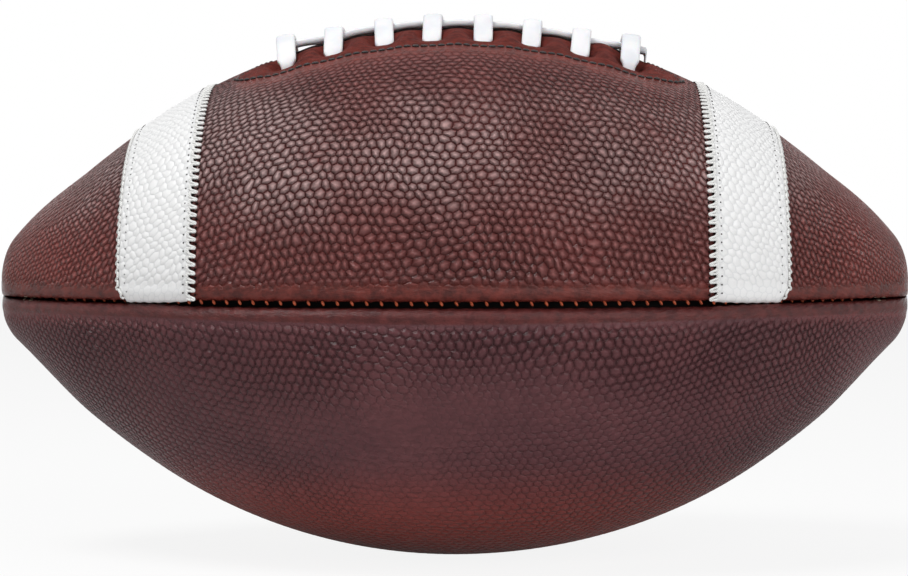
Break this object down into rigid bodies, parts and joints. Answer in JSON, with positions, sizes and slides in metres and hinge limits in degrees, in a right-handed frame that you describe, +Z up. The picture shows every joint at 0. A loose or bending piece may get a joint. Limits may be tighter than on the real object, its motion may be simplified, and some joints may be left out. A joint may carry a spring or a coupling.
{
  "type": "american football",
  "caption": "Prolate laced leather ball with pebbled panels, white stripes, inner bladder and a needle valve; for throwing and kicking games.",
  "frame": {"origin": "on the ground under the middle of the ball, with the ball lying on its lower seam", "axes": "+X along the ball's length, +Z up through the lacing, -Y towards the front panels"},
  "size_m": [0.29, 0.1684, 0.1733],
  "materials": {
    "pebbled_leather": "pebble-grained tanned leather, dark red-brown, satin",
    "white_leather": "white coated pebbled leather, satin",
    "lining_cloth": "bonded multi-ply cloth",
    "facing_cloth": "stiff cloth facing",
    "waxed_thread": "waxed tan seam thread",
    "black_thread": "black sewing thread",
    "white_thread": "white sewing thread",
    "white_lace": "soft white lace, slightly rounded edges",
    "tongue_leather": "plain split leather",
    "bladder_rubber": "thin moulded bladder",
    "valve_rubber": "moulded rubber",
    "core_rubber": "soft moulded rubber"
  },
  "bodies": {
    "root": {"front_upper_panel": "pebbled_leather", "front_upper_lining": "lining_cloth", "front_lower_panel": "pebbled_leather", "front_lower_lining": "lining_cloth", "rear_upper_panel": "pebbled_leather", "rear_upper_lining": "lining_cloth", "rear_lower_panel": "pebbled_leather", "rear_lower_lining": "lining_cloth", "front_left_stripe": "white_leather", "front_left_stripe_thread": "white_thread", "front_right_stripe": "white_leather", "front_right_stripe_thread": "white_thread", "rear_left_stripe": "white_leather", "rear_left_stripe_thread": "white_thread", "rear_right_stripe": "white_leather", "rear_right_stripe_thread": "white_thread", "front_lace_facing": "facing_cloth", "front_facing_thread": "black_thread", "rear_lace_facing": "facing_cloth", "rear_facing_thread": "black_thread", "seam_thread_front": "waxed_thread", "seam_thread_rear": "waxed_thread", "seam_thread_bottom": "waxed_thread", "seam_thread_top_left": "waxed_thread", "seam_thread_top_right": "waxed_thread", "lace": "white_lace", "tongue": "tongue_leather", "bladder": "bladder_rubber", "valve_body": "valve_rubber", "valve_core": "core_rubber"}
  },
  "joints": []
}
